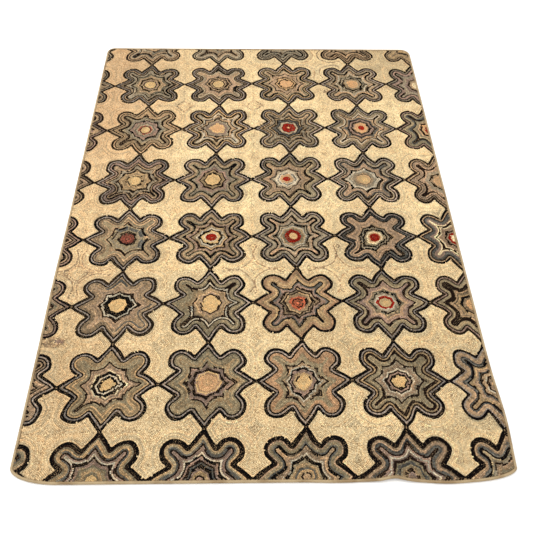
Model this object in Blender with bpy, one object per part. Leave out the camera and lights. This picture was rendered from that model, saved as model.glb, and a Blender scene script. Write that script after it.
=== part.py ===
"""Hooked rug lying flat: a hooked wool panel in a narrow sewn edge binding.

Metres, +Z up. +Y is the rug's length, +X its width, and the origin is under the middle of the rug,
on the surface that it lies on.
"""

import bmesh
import bpy
import numpy as np

# Driving dimensions
REPEAT = 0.381              # one star of the all-over design, tip to tip (15 inches)
REPEATS_WIDE = 4.738
REPEATS_LONG = 6.955
HALF_WIDTH = REPEAT * REPEATS_WIDE / 2
HALF_LENGTH = REPEAT * REPEATS_LONG / 2

PANEL_THICK = 0.0082        # burlap and wool loops together
MARGIN_WIDE = 0.0060        # folded burlap margin, held inside the binding
MARGIN_LOW = 0.0028          # its underside and its top over the underside of the rug
MARGIN_HIGH = 0.0052
BINDING_WIDE = 0.0090
BINDING_THICK = 0.0088
GAP = 0.0003                # between the sewn pieces

# The binding's rolled outside, from its flat underside round to the panel's edge
BINDING_ROLL = (
    # share of its width in from the outer edge, share of its thickness up
    (1.00, 0.00),
    (0.30, 0.00),
    (0.08, 0.14),
    (0.00, 0.42),
    (0.05, 0.72),
    (0.24, 0.94),
    (0.55, 1.00),
    (1.00, 0.94),
)

# Corners, hand-cut round: how far each one eats into the end and into the side
CORNERS = (
    # side, end, along_end, along_side
    ("right", "near", 0.155, 0.048),
    ("right", "far", 0.052, 0.058),
    ("left", "far", 0.042, 0.045),
    ("left", "near", 0.175, 0.064),
)
CORNER_STEPS = 9

# How far each edge stands out at its two ends, so that the rug isn't quite a rectangle
EDGE_SLANTS = {
    # edge: (out at the near or left end, out at the far or right end)
    "left": (0.0135, -0.0045),
    "right": (-0.0030, -0.0045),
    "far": (0.0115, -0.0065),
    "near": (-0.0050, 0.0010),
}

# Places where an edge swells out or draws in
EDGE_SWELLS = (
    # edge, at, out, spread
    ("right", -1.090, 0.0110, 0.150),
    ("near", 0.650, 0.0100, 0.110),
    ("near", 0.457, -0.0090, 0.040),
    ("near", 0.250, 0.0030, 0.080),
    ("left", -0.450, 0.0035, 0.260),
)

# Where the rug stands off the floor: one shallow buckle at the near end
LIFTS = (
    # x, y, height, spread_x, spread_y
    (0.457, -1.325, 0.0062, 0.060, 0.120),
)
LIFT_FLOOR = 0.0002         # below this the cloth lies dead flat

SIDE_STEP = 0.085           # spacing of outline points along the long sides and the far end
NEAR_STEP = 0.034
BUCKLE_X = 0.457
BUCKLE_STEP = 0.0125
BUCKLE_WIDE = 0.125         # the buckle's reach to each side and up from the near end
BUCKLE_DEEP = 0.250
BUCKLE_GRID = 0.025
EDGE_STRIP = 0.030          # the strip of panel by the near end that is cut as finely as the outline
GRID_STEP = 0.118           # spacing of the panel's surface points elsewhere
WELD = 0.00001
COPLANAR = 0.0001           # radians between two faces that are really one
SHARP_FROM = 0.7            # radians across an edge that stays sharp

WOOL_COLOUR = (0.60, 0.46, 0.29, 1.0)
BINDING_COLOUR = (0.46, 0.38, 0.24, 1.0)


def spaced(low, high, step):
    """Evenly spaced values from low to high, both kept, no further apart than step."""
    return np.linspace(low, high, max(2, int(np.ceil(abs(high - low) / step)) + 1))


def near_edge_values(low, high):
    """Outline points along the near end, closer together over the buckle."""
    left = spaced(low, BUCKLE_X - BUCKLE_WIDE, NEAR_STEP)
    middle = spaced(BUCKLE_X - BUCKLE_WIDE, BUCKLE_X + BUCKLE_WIDE, BUCKLE_STEP)
    right = spaced(BUCKLE_X + BUCKLE_WIDE, high, NEAR_STEP)
    return np.concatenate([left[:-1], middle, right[1:]])


def corner_points(side, end, along_end, along_side):
    """A quarter ellipse from the side round to the end of one corner."""
    sign_x = 1.0 if side == "right" else -1.0
    sign_y = 1.0 if end == "far" else -1.0
    turn = np.linspace(0.0, np.pi / 2, CORNER_STEPS)
    x = sign_x * (HALF_WIDTH - along_end * (1.0 - np.cos(turn)))
    y = sign_y * (HALF_LENGTH - along_side * (1.0 - np.sin(turn)))
    return np.column_stack([x, y])


def plain_outline():
    """The rectangle with its four round corners, anticlockwise from the near right corner."""
    near_right, far_right, far_left, near_left = (corner_points(*row) for row in CORNERS)
    runs = [near_right[::-1]]
    side = spaced(near_right[0, 1], far_right[0, 1], SIDE_STEP)[1:-1]
    runs.append(np.column_stack([np.full_like(side, HALF_WIDTH), side]))
    runs.append(far_right)
    far = spaced(far_right[-1, 0], far_left[-1, 0], SIDE_STEP)[1:-1]
    runs.append(np.column_stack([far, np.full_like(far, HALF_LENGTH)]))
    runs.append(far_left[::-1])
    side = spaced(far_left[0, 1], near_left[0, 1], SIDE_STEP)[1:-1]
    runs.append(np.column_stack([np.full_like(side, -HALF_WIDTH), side]))
    runs.append(near_left)
    near = near_edge_values(near_left[-1, 0], near_right[-1, 0])[1:-1]
    runs.append(np.column_stack([near, np.full_like(near, -HALF_LENGTH)]))
    return np.concatenate(runs)


def edge_out(edge, along, half):
    """How far an edge stands out at each place along it: its slant plus its swells."""
    start, stop = EDGE_SLANTS[edge]
    out = start + (stop - start) * (along / half + 1.0) / 2
    for name, at, height, spread in EDGE_SWELLS:
        if name == edge:
            out = out + height * np.exp(-(((along - at) / spread) ** 2))
    return out


def rug_outline():
    """The real outline: the plain one with each edge moved out or in, centred on the origin."""
    x, y = plain_outline().T
    out_x = np.where(x > 0, edge_out("right", y, HALF_LENGTH), edge_out("left", y, HALF_LENGTH))
    out_y = np.where(y > 0, edge_out("far", x, HALF_WIDTH), edge_out("near", x, HALF_WIDTH))
    points = np.column_stack([x + out_x * x / HALF_WIDTH, y + out_y * y / HALF_LENGTH])
    return points - (points.max(axis=0) + points.min(axis=0)) / 2


def inset(points, distance):
    """The outline moved inwards by a distance, square to itself."""
    ahead = np.roll(points, -1, axis=0) - points
    behind = points - np.roll(points, 1, axis=0)
    ahead /= np.linalg.norm(ahead, axis=1)[:, None]
    behind /= np.linalg.norm(behind, axis=1)[:, None]
    along = ahead + behind
    along /= np.linalg.norm(along, axis=1)[:, None]
    inward = np.column_stack([-along[:, 1], along[:, 0]])
    return points + inward * distance


def lift(x, y):
    """Height of the cloth's underside over the floor: a smooth swell, dead flat away from it."""
    total = np.zeros_like(x)
    for at_x, at_y, height, spread_x, spread_y in LIFTS:
        total += height * np.exp(-(((x - at_x) / spread_x) ** 2) - ((y - at_y) / spread_y) ** 2)
    return np.maximum(total - LIFT_FLOOR, 0.0)


def lay_on_floor(mesh):
    """Raises every point of a mesh by the lift of the cloth under it."""
    co = np.empty(len(mesh.vertices) * 3)
    mesh.vertices.foreach_get("co", co)
    co = co.reshape(-1, 3)
    co[:, 2] += lift(co[:, 0], co[:, 1])
    mesh.vertices.foreach_set("co", co.ravel())
    mesh.update()


def plain_material(name, colour, roughness):
    """A dull cloth finish."""
    material = bpy.data.materials.new(name)
    material.use_nodes = True
    shader = material.node_tree.nodes["Principled BSDF"]
    shader.inputs["Base Color"].default_value = colour
    shader.inputs["Roughness"].default_value = roughness
    shader.inputs["Metallic"].default_value = 0.0
    return material


def closed_curve(name, points, collection):
    """A flat closed curve of straight steps through points."""
    curve = bpy.data.curves.new(name, "CURVE")
    curve.dimensions = "2D"
    spline = curve.splines.new("POLY")
    spline.points.add(len(points) - 1)
    for point, (x, y) in zip(spline.points, points):
        point.co = (x, y, 0.0, 1.0)
    spline.use_cyclic_u = True
    item = bpy.data.objects.new(name, curve)
    collection.objects.link(item)
    return item


def made_mesh(item, name):
    """The finished mesh of a curve or of a body with modifiers, its seams welded."""
    bpy.context.view_layer.update()
    evaluated = item.evaluated_get(bpy.context.evaluated_depsgraph_get())
    mesh = bpy.data.meshes.new_from_object(evaluated)
    mesh.name = name
    work = bmesh.new()
    work.from_mesh(mesh)
    bmesh.ops.remove_doubles(work, verts=work.verts, dist=WELD)
    bmesh.ops.recalc_face_normals(work, faces=work.faces)
    work.to_mesh(mesh)
    work.free()
    return mesh


def slab(name, points, low, high, collection):
    """A flat plate with an outline and two levels."""
    item = closed_curve(name + "_outline", points, collection)
    item.data.fill_mode = "BOTH"
    item.data.extrude = (high - low) / 2
    item.location.z = (low + high) / 2
    mesh = made_mesh(item, name)
    mesh.transform(item.matrix_world)
    bpy.data.objects.remove(item)
    plate = bpy.data.objects.new(name, mesh)
    collection.objects.link(plate)
    return plate


def cut(work, place, normal, low, high):
    """Cuts through the faces of a plate whose middles lie in a box seen from above."""
    faces = [
        face for face in work.faces
        if all(low[axis] < face.calc_center_median()[axis] < high[axis] for axis in (0, 1))
    ]
    edges = {edge for face in faces for edge in face.edges}
    verts = {vert for face in faces for vert in face.verts}
    geometry = list(verts) + list(edges) + faces
    bmesh.ops.bisect_plane(work, geom=geometry, dist=WELD, plane_co=place, plane_no=normal)


def cut_in_grid(mesh):
    """Cuts a plate across and along, so that its faces can follow the lie of the cloth.

    The grid is coarse over the whole plate, finer over the buckle, and finest at the buckle's edge.
    """
    whole = ((-HALF_WIDTH * 2, -HALF_LENGTH * 2), (HALF_WIDTH * 2, HALF_LENGTH * 2))
    near = -HALF_LENGTH
    buckle_left, buckle_right = BUCKLE_X - BUCKLE_WIDE, BUCKLE_X + BUCKLE_WIDE
    buckle = ((buckle_left, near * 2), (buckle_right, near + BUCKLE_DEEP))
    strip = ((buckle_left, near * 2), (buckle_right, near + EDGE_STRIP))
    cuts_across = [(x, whole) for x in spaced(-HALF_WIDTH, HALF_WIDTH, GRID_STEP)[1:-1]]
    cuts_across += [(x, whole) for x in (buckle_left, buckle_right)]
    cuts_along = [(y, whole) for y in spaced(near, HALF_LENGTH, GRID_STEP)[1:-1]]
    cuts_along += [(y, whole) for y in (near + BUCKLE_DEEP, near + EDGE_STRIP)]
    cuts_across += [(x, buckle) for x in spaced(buckle_left, buckle_right, BUCKLE_GRID)[1:-1]]
    cuts_along += [(y, buckle) for y in spaced(near + EDGE_STRIP, near + BUCKLE_DEEP, BUCKLE_GRID)]
    work = bmesh.new()
    work.from_mesh(mesh)
    inner = [edge for edge in work.edges if edge.calc_face_angle(1.0) < COPLANAR]
    bmesh.ops.dissolve_edges(work, edges=inner, use_verts=False)
    for y, (low, high) in cuts_along:
        cut(work, (0, y, 0), (0, 1, 0), low, high)
    for x, (low, high) in cuts_across:
        cut(work, (x, 0, 0), (1, 0, 0), low, high)
    for x in spaced(buckle_left, buckle_right, BUCKLE_STEP)[1:-1]:
        cut(work, (x, 0, 0), (1, 0, 0), *strip)
    work.to_mesh(mesh)
    work.free()


def hooked_panel(outline, collection, guides):
    """The hooked ground with its thin folded burlap margin, which the binding holds."""
    body_edge = inset(outline, BINDING_WIDE + GAP)
    margin_edge = inset(outline, BINDING_WIDE + GAP - MARGIN_WIDE)
    body = slab("panel_body", body_edge, 0.0, PANEL_THICK, guides)
    margin = slab("burlap_margin", margin_edge, MARGIN_LOW, MARGIN_HIGH, guides)
    union = body.modifiers.new("margin", "BOOLEAN")
    union.operation = "UNION"
    union.solver = "EXACT"
    union.object = margin
    mesh = made_mesh(body, "hooked_panel")
    bpy.data.objects.remove(body)
    bpy.data.objects.remove(margin)
    cut_in_grid(mesh)
    lay_on_floor(mesh)
    mesh.materials.clear()
    mesh.materials.append(plain_material("hooked_wool", WOOL_COLOUR, 0.95))
    collection.objects.link(bpy.data.objects.new("hooked_panel", mesh))


def binding_section():
    """Section of the binding as (in from the outer edge, up): a rolled bead with a slot inside."""
    roll = [(BINDING_WIDE * inward, BINDING_THICK * up) for inward, up in BINDING_ROLL]
    slot_in = BINDING_WIDE - MARGIN_WIDE
    slot_low = MARGIN_LOW - GAP
    slot_high = MARGIN_HIGH + GAP
    slot = [
        (BINDING_WIDE, slot_high),
        (slot_in, slot_high),
        (slot_in, slot_low),
        (BINDING_WIDE, slot_low),
    ]
    return roll + slot


def edge_binding(outline, collection, guides):
    """One cloth strip rolled round the burlap margin and sewn down, all round the rug."""
    section = [(-inward, up) for inward, up in binding_section()]
    profile = closed_curve("binding_section", section, guides)
    path = closed_curve("binding_path", outline, guides)
    path.data.dimensions = "3D"
    path.data.twist_mode = "Z_UP"
    path.data.bevel_mode = "OBJECT"
    path.data.bevel_object = profile
    mesh = made_mesh(path, "edge_binding")
    bpy.data.objects.remove(path)
    bpy.data.objects.remove(profile)
    lay_on_floor(mesh)
    mesh.materials.clear()
    mesh.materials.append(plain_material("binding_cloth", BINDING_COLOUR, 0.85))
    mesh.shade_smooth()
    mesh.set_sharp_from_angle(angle=SHARP_FROM)
    collection.objects.link(bpy.data.objects.new("edge_binding", mesh))


def main():
    """Builds the panel and its binding in a collection named for the rug."""
    for item in list(bpy.data.objects):
        bpy.data.objects.remove(item, do_unlink=True)
    rug = bpy.data.collections.new("hooked_rug")
    guides = bpy.data.collections.new("guides")
    bpy.context.scene.collection.children.link(rug)
    bpy.context.scene.collection.children.link(guides)
    outline = rug_outline()
    hooked_panel(outline, rug, guides)
    edge_binding(outline, rug, guides)


main()
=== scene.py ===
"""Looks of the hooked rug: wool loops in rows, the burlap that holds them, and a sewn cloth edge.

Metres, +Z up, +X the rug's width and +Y its length. A place in the all-over design is given as a
column and a row of stars, counted from the far left corner, so that star (2, 7) is the second from
the left in the seventh row. A place with one half number lies where the tips of two stars meet, and
one with two half numbers in the middle of the ground between four.
"""

import logging
import re
from dataclasses import dataclass, field
from enum import Enum
from functools import lru_cache

import bpy
import numpy as np
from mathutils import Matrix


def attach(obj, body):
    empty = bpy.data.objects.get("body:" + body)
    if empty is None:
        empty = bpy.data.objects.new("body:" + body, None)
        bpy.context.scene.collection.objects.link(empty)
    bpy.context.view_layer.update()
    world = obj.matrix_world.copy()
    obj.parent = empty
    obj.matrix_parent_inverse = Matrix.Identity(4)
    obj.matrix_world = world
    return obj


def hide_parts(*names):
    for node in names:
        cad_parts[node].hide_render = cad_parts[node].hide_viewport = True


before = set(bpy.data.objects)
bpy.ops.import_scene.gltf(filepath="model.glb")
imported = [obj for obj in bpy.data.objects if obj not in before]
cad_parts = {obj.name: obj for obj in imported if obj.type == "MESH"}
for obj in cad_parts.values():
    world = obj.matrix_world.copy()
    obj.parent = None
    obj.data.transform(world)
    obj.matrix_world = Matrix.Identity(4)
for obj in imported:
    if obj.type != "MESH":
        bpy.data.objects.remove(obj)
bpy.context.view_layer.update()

LOG = logging.getLogger("hooked_rug")
Array = np.ndarray
Colour = tuple[float, float, float]
SEED = 1907
MM = 0.001

# Driving sizes, the same as those of the solids
REPEAT = 0.381                 # one star of the design, tip to tip
HALF_WIDTH = REPEAT * 4.738 / 2
HALF_LENGTH = REPEAT * 6.955 / 2
PILE_TOP = 0.0082
BINDING_WIDE = 0.0090
BINDING_THICK = 0.0088
GAP = 0.0003

# Sizes of the hooking
ROW_WIDE = 0.0058              # from one row of loops to the next
LOOP_LONG = 0.0055             # from one loop to the next in its row
GROUND_BED = 0.0048            # burlap with the feet of the loops packed in it
GROUND_ROWS = 40               # rows of loops worked round a star's outline
MIDDLE_COLUMN = 3.61           # the column and row of stars at the rug's middle
MIDDLE_ROW = 4.56
STAR_ROWS = range(1, 9)

# What is kept for each loop of a star, and the names of the values that the finishes read
LOOP_FACTS = ("place", "along", "wide", "wool", "shade", "depth")
# The loops' colour attribute holds each loop's dyed colour with painted shade at its feet and painted light
# at its crown
LOOP_COLOUR_AND_PAINTED_SHADE = "dyed"
CLOTH_MAP = "cloth"
BAKE_MAP = "OFBake"

# Kinds of sockets of a node group
VALUE, COLOUR, VECTOR = "NodeSocketFloat", "NodeSocketColor", "NodeSocketVector"


class Wool(Enum):
    """The dyed wools, each with its letter in the chart, its sRGB shade and how unevenly it is dyed."""

    BLACK = ("K", (12, 10, 11), 0.16)
    OLIVE_BLACK = ("Q", (32, 26, 19), 0.20)
    BROWN_BLACK = ("N", (30, 21, 17), 0.20)
    LILAC_GREY = ("L", (150, 139, 128), 0.16)
    MAUVE = ("M", (143, 122, 108), 0.15)
    TAUPE = ("T", (158, 136, 108), 0.17)
    GREY = ("G", (148, 137, 116), 0.15)
    SAGE = ("S", (144, 132, 106), 0.15)
    SLATE = ("B", (90, 90, 85), 0.18)
    ROSE = ("R", (162, 139, 114), 0.15)
    RUST = ("O", (168, 137, 106), 0.15)
    PEACH = ("A", (205, 166, 122), 0.06)
    GOLD = ("D", (165, 142, 108), 0.14)
    CREAM = ("C", (236, 216, 174), 0.08)
    RED = ("X", (136, 32, 22), 0.12)
    CORAL = ("Z", (156, 86, 62), 0.26)
    WINE = ("W", (132, 74, 60), 0.26)
    PALE_GREY = ("P", (194, 184, 161), 0.10)
    HONEY = ("H", (209, 179, 129), 0.06)

    @property
    def letter(self) -> str:
        """The wool's letter in the chart."""
        return self.value[0]

    @property
    def shade(self) -> Colour:
        """The wool's shade as red, green and blue, 0 to 255."""
        return self.value[1]

    @property
    def uneven(self) -> float:
        """How far the dye wanders, as a share of the shade's brightness."""
        return self.value[2]


WOOLS = list(Wool)
WOOL_OF_LETTER = {wool.letter: index for index, wool in enumerate(WOOLS)}
GROUND_WOOL = len(WOOLS)       # the ground's own mark, past the last wool of the stars

# Shades of the ground, sRGB: three lots of undyed and tea-dyed wool, used up in turn
GROUND_SHADES = (
    # name, shade, share of the strips
    ("cream", (233, 213, 171), 0.46),
    ("straw", (223, 200, 157), 0.34),
    ("oatmeal", (206, 180, 141), 0.20),
)

# How far the ground's dye wanders, as a share of its brightness
GROUND_UNEVEN = 0.085


@dataclass(frozen=True)
class Band:
    """A band of one wool round a star.

    Args:
        wool: index of its wool.
        width: its width in rows, where None fills the star to its middle.
        broken: true for a line that stops and starts.
    """

    wool: int
    width: float | None
    broken: bool


@dataclass(frozen=True)
class Star:
    """One star of the chart: its bands from the outline in, and how far its middle is off centre.

    Args:
        chart: letters of the wools, each with its width in rows; a small letter is a broken line.
        right: how far the middle lies to the right, in mm.
        near: how far the middle lies towards the near end, in mm.
        pulls: where the inner rings are pulled out: degrees round the star, spread, and rows.
    """

    chart: str
    right: float = 0.0
    near: float = 0.0
    pulls: tuple[tuple[float, float, float], ...] = ()

    def bands(self) -> list[Band]:
        """Reads the chart.

        Returns:
            The star's bands, the outermost first.
        """
        found = re.findall(r"([A-Za-z])([\d.]*)", self.chart)
        return [
            Band(WOOL_OF_LETTER[letter.upper()], float(width) if width else None, letter.islower())
            for letter, width in found
        ]


# The chart, by column and row. Each star is worked from its outline in.
STARS = {
    (1, 1): Star("N2 G1 N1 T2.4 N1.6 G2.5 T2.7 N1.6 T1.7 D"),
    (2, 1): Star("N2 T1 N1 T1.9 G1.7 N1.5 T2.9 G1.9 N1.3 T2.9 D"),
    (3, 1): Star("N2 G1 N1 G2.7 T1.5 N1.6 T2.7 G1.7 N1.6 T1.7 D"),
    (4, 1): Star("N2 G1 N1 G1.4 N1.4 G2.2 N1.6 G2.7 T1.7 N1.6 A"),
    (5, 1): Star("N2 T1 N1 T1.4 N1.4 T2.2 N1.4 T2.7 G1.7 N1.6 D"),
    (6, 1): Star("N2 T1 N1 D4.7 T1.5 N1.6 D3.5 N1.6 A"),
    (1, 2): Star("N2 G1 N1 T2.3 n1.6 G2.5 T1.7 N1.6 T1.7 A"),
    (2, 2): Star("Q2 L1 N1 T1.3 K1.4 G1.6 n1.4 S1.7 T1.6 D.8 N1.4 D1.2 M.8 N1.2 H"),
    (3, 2): Star("N2 L1 N1 T1 K1.4 G1.3 T1.3 R3.2 N1.4 T1.2 N1.2 T1 N1.1 H"),
    (4, 2): Star("Q2 L1 N1 D1.2 K1.3 S1.4 T1.6 n1.2 R1.7 T1.4 N1.3 D1.3 N1.2 A"),
    (5, 2): Star("N2 L1 N1 T1.4 G1 K1.4 T1.8 P.8 S1 n1.3 G1.2 K1.4 D1.4 G1 D1 A"),
    (6, 2): Star("N2 G1 N1 M2.4 n1.6 G3.5 M2.7 N1.6 T2.7 C"),
    (1, 3): Star("N2 M1 N1 T2.3 n1.6 M3.2 N1.6 T2.7 A"),
    (2, 3): Star("Q2 T1 K1 D1.5 T1.2 N1.5 S1 G2.1 K1.6 M2.1 G2.6 W1.5 H", 3, 3),
    (3, 3): Star("N2 L1 N1 D1.3 K1.4 D1.2 P.8 n1.3 T1.8 N1.4 G1.6 M2 H1 A", -5, -3),
    (4, 3): Star("Q2 L1 N1 D1 G1 N1.2 T1.3 G1 n1.2 D1 N1.2 B1.5 N1 G2.2 X4.5 A", -8, 0,
                 ((180, 50, 1.5),)),
    (5, 3): Star("K2 L1 N1 S1.6 T1.6 P.8 N1 T1.4 B1.6 N1.2 M1.8 N1.5 T1 A2.6 X", 4, -5),
    (6, 3): Star("N2 M1 N1 S2.7 B1.6 N1.6 S2.7 T1.7 N1.6 A2.7 X"),
    (1, 4): Star("N2 T1 N1 R2.3 n1.6 T3.2 N1.6 R2.7 A"),
    (2, 4): Star("Q2 L1 N1 M1.5 K1.3 T1.2 n1.2 G1.6 N1.6 D2.2 D2 n1.4 H"),
    (3, 4): Star("K2 L1 N1 T1.8 S1.4 K1.4 G2.2 M2 N1.4 D1.6 N1.4 H", -5, 0),
    (4, 4): Star("K2 L1 N1 S1.8 K1.6 T2.4 R2 N1.1 G1.4 P1.6 B.8 P1 A2.4 X", -19, 1,
                 ((180, 45, 1.5), (15, 50, -2.5))),
    (5, 4): Star("K2 L1 N1 G1.4 N1.4 B1 R2.8 K1.7 P1.6 G2.4 T2 A1.2 H", -8, 0,
                 ((180, 36, 4), (290, 40, -1.5))),
    (6, 4): Star("N2 T1 N1 R3.3 N1.6 R2.5 G2.7 N1.6 T1.7 A"),
    (1, 5): Star("K2 M1 K1 R1.2 k1.3 R1.1 n1.3 T1.7 k1.3 R1.3 N1.3 R"),
    (2, 5): Star("K2 L1 K1 T3.2 S1.5 T1 n1.4 S1.4 G2 S2 N1.5 W", 3, 4),
    (3, 5): Star("K2 L1 K1 T1.8 S1 K1.5 T1.4 M.8 N1.4 D1.2 G1 P.8 K1.8 H1.4 C1.4 X", -2, 2),
    (4, 5): Star("K2 L1 K1 G2.4 K1.5 R1.1 G1.2 K1.5 G1.4 P1 D1.2 S1.6 X3.2 H", -4, 4),
    (5, 5): Star("K2 L1 K1 B1.1 K1.1 R5 T.8 K1.5 G1.1 K1.4 S1.4 C1 A1 X", -5, 7,
                 ((122, 38, 3.6), (40, 30, -1.2))),
    (6, 5): Star("K2 T1 N1 B2.7 M1.8 C1 N1.6 C1 R2.7 N1.6 R1 X1.5 C3 X"),
    (1, 6): Star("K2 M1 K1 T1.8 R1 S1.3 N1.5 T1.3 k1.3 R1.3 N1.4 D"),
    (2, 6): Star("Q2 L1 K1 T4.2 R3.2 N1.3 P1.3 K3.2 H"),
    (3, 6): Star("K2 L1 K1 S2.9 N1.3 P1 N1.3 T1.4 D2 R1.4 N1.3 H", 7, 1, ((200, 28, -3),)),
    (4, 6): Star("K2 O2.2 D2.6 K1.3 B.9 M1.5 N1.3 T1.3 N1.3 D1.6 O1.4 Z1.6 N.8 Z", 0, 7,
                 ((245, 25, -1.4), (60, 25, -1))),
    (5, 6): Star("K2 L1 N1 S2.7 N1.4 M2.3 R2 S1 k1.4 G1.3 P1.4 X2 H", -5, 5),
    (6, 6): Star("Q2 M1 N1 S2.5 N1.6 Q1.6 T2.7 D2 K1.6 T2 A"),
    (1, 7): Star("K2 L1 K1 R1.5 k1.3 T1.2 N1.4 R1.3 k1.3 R1.3 N1.4 T1 R"),
    (2, 7): Star("K2 L1 K1 D3 S2.3 N1.3 R3.3 C.8 K1.8 P1.1 K1.3 H", -3, 0,
                 ((5, 22, 1.6), (70, 26, -1.4), (190, 40, 1))),
    (3, 7): Star("K2 L1 K1 S3.1 D1.6 S.6 n1.6 M1.8 N1.6 M.9 H1 O1.4 A1.8 O.9 A", 0, 0,
                 ((15, 20, 1.6), (290, 30, -1.2))),
    (4, 7): Star("K2 L1 K1 O3.1 S2.8 n1.5 T1.2 P1 K1.5 M1.7 D1.5 H", -5, 5,
                 ((110, 34, 1.4), (325, 30, -1))),
    (5, 7): Star("K2 L1 N1 D1 N1.3 S2.8 N1.4 G1.2 R2.1 P1 N1.3 M1.2 K1.3 H", -6, 0,
                 ((25, 30, -1.4), (285, 26, -1.5))),
    (6, 7): Star("K2 L1 T1.6 R1.6 B1.3 K1.5 D1.9 R1.6 B1 N1.2 T1.9 P.8 N1.3 R1.9 A"),
    (1, 8): Star("K2 N1 T1.4 S1.2 B1.2 N1.4 T1.9 R1 P1 N1.3 S1.9 D"),
    (2, 8): Star("K2 N1 S1.4 D1.4 B1 N1.2 M1 P1 N1.5 M1.7 S2.4 D2.2 S1.6 H"),
    (3, 8): Star("K2 N1 D1.2 S1.2 B1.2 N1.2 M1.5 P1 K1.5 M1.3 N1.3 B1.1 K1.5 M1.3 D1.9 N1.3 M"),
    (4, 8): Star("K2 N1 R1.4 S1.6 B1 K1.3 T1.5 R1.4 P1 K1.6 S1.3 D2 B1 D1.9 n1.3 T"),
    (5, 8): Star("K2 N1 T1.4 R1.2 B1.3 N1.3 M1.3 P1 M1.2 N1.5 S1.5 B1.4 S1.4 D1.3 n1.3 M"),
    (6, 8): Star("K2 N1 T1 R1.4 B1.3 K1.6 S1 G1 n1.2 R1.2 T2 S2 D"),
}

# Odd lengths of another wool that were hooked into a star
ODD_LENGTHS = (
    # column, row, wool, from and to in degrees round the star (0 right, 90 near), from and to in rows
    (2, 5, "K", 4, 46, 7.6, 9.2),
    (2, 5, "B", 8, 42, 9.2, 12.0),
    (2, 5, "N", 182, 225, 12.0, 13.4),
    (2, 5, "B", 225, 268, 10.4, 14.0),
    (2, 5, "K", 232, 262, 10.0, 12.2),
    (2, 5, "B", 272, 312, 11.4, 14.2),
    (2, 5, "K", 316, 352, 8.4, 9.8),
    (2, 5, "B", 316, 352, 9.8, 13.2),
    (2, 6, "B", 0, 88, 5.0, 6.4),
    (2, 6, "B", 236, 286, 3.8, 6.2),
    (4, 7, "N", 140, 186, 15.4, 16.6),
    (4, 7, "N", 186, 236, 17.6, 18.8),
    (4, 7, "N", 310, 354, 16.8, 18.0),
    (3, 2, "K", 8, 38, 5.0, 6.8),
    (4, 4, "K", 30, 92, 1.6, 3.2),
    (4, 6, "K", -40, 14, 15.4, 17.6),
    (5, 2, "K", 30, 78, 12.0, 13.4),
    (5, 2, "K", 150, 172, 11.8, 13.2),
    (5, 3, "M", 186, 222, 15.6, 17.4),
    (3, 6, "D", 172, 245, 8.6, 11.0),
)


class Mark(Enum):
    """Kinds of faint marks in the ground, each with the letter of its wool."""

    DIAMOND = ("diamond", "T")
    ECHO = ("echo", "T")
    STAIN = ("stain", "M")
    SMUDGE = ("smudge", "T")


# The ground's marks: column and row, kind, and size. It is in repeats, but in rows for an echo,
# which counts them from the outline out.
GROUND_MARKS = (
    (2.5, 2.5, Mark.DIAMOND, 0.115),
    (3.5, 2.5, Mark.DIAMOND, 0.115),
    (1.5, 5.5, Mark.DIAMOND, 0.125),
    (1.5, 5.5, Mark.DIAMOND, 0.165),
    (1.5, 5.5, Mark.ECHO, 4.0),
    (3.5, 5.5, Mark.ECHO, 5.0),
    (4.5, 5.5, Mark.ECHO, 5.0),
    (4.5, 1.5, Mark.ECHO, 3.0),
    (1.44, 6.44, Mark.STAIN, 0.055),
    (1.38, 6.45, Mark.SMUDGE, 0.12),
    (4.60, 2.18, Mark.SMUDGE, 0.07),
)

# How far the drawn lines of the design wander from an even lattice, in mm. The places between are
# read off by straight lines.
ACROSS_BY_ROW = ((1.5, -7), (2.5, 8), (3, 8), (3.5, 0), (4.5, -10), (5, -3), (6.5, 1), (7, 7), (8, -7))
ACROSS_BY_COLUMN = ((1.5, -6), (2.5, 5), (4, 3), (5, -2), (5.5, -1), (6, -14))
NEARER_BY_ROW = ((2, -4), (3, 1), (4, 8), (4.5, 8), (5, 2), (5.5, 5), (6, -5), (6.5, 0), (7, -5), (8, 4))
NEARER_BY_COLUMN = ((1.5, 13), (2, 3), (3.5, -5), (4, -8), (4.5, -7), (5, -1), (5.5, 3), (6, 16))


def smooth_step(value: Array) -> Array:
    """Eases 0 to 1: three squared less two cubed, held at the ends.

    Args:
        value: numbers, of which those under 0 count as 0 and those over 1 as 1.

    Returns:
        The eased numbers.
    """
    held = np.clip(value, 0.0, 1.0)
    return held * held * (3.0 - 2.0 * held)


def linear(shade: Colour | Array) -> Array:
    """Turns sRGB numbers from 0 to 255 into linear light from 0 to 1.

    Args:
        shade: red, green and blue.

    Returns:
        The same colour, linear.
    """
    share = np.asarray(shade, float) / 255.0
    return np.where(share <= 0.04045, share / 12.92, ((share + 0.055) / 1.055) ** 2.4)


def ripple(x: Array, y: Array, wave: float, seed: int) -> Array:
    """A smooth uneven surface from -1 to 1: the mean of six sine waves that run different ways.

    Args:
        x: places across.
        y: places along.
        wave: the usual length of a wave.
        seed: picks the waves' directions and starts.

    Returns:
        The height at each place.
    """
    draw = np.random.default_rng(seed)
    total = np.zeros(np.shape(x))
    for turn in np.linspace(0.0, np.pi, 6, endpoint=False) + draw.uniform(0.0, 0.5, 6):
        length = wave * draw.uniform(0.7, 1.5)
        start = draw.uniform(0.0, 2.0 * np.pi)
        total += np.sin(2.0 * np.pi * (x * np.cos(turn) + y * np.sin(turn)) / length + start)
    return total / 3.0


def read_off(table: tuple[tuple[float, float], ...], place: Array) -> Array:
    """Reads millimetres off a short table by straight lines.

    Args:
        table: pairs of place and millimetres.
        place: where to read it.

    Returns:
        The read values in metres.
    """
    places, values = zip(*table)
    return np.interp(place, places, values) * MM


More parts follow.
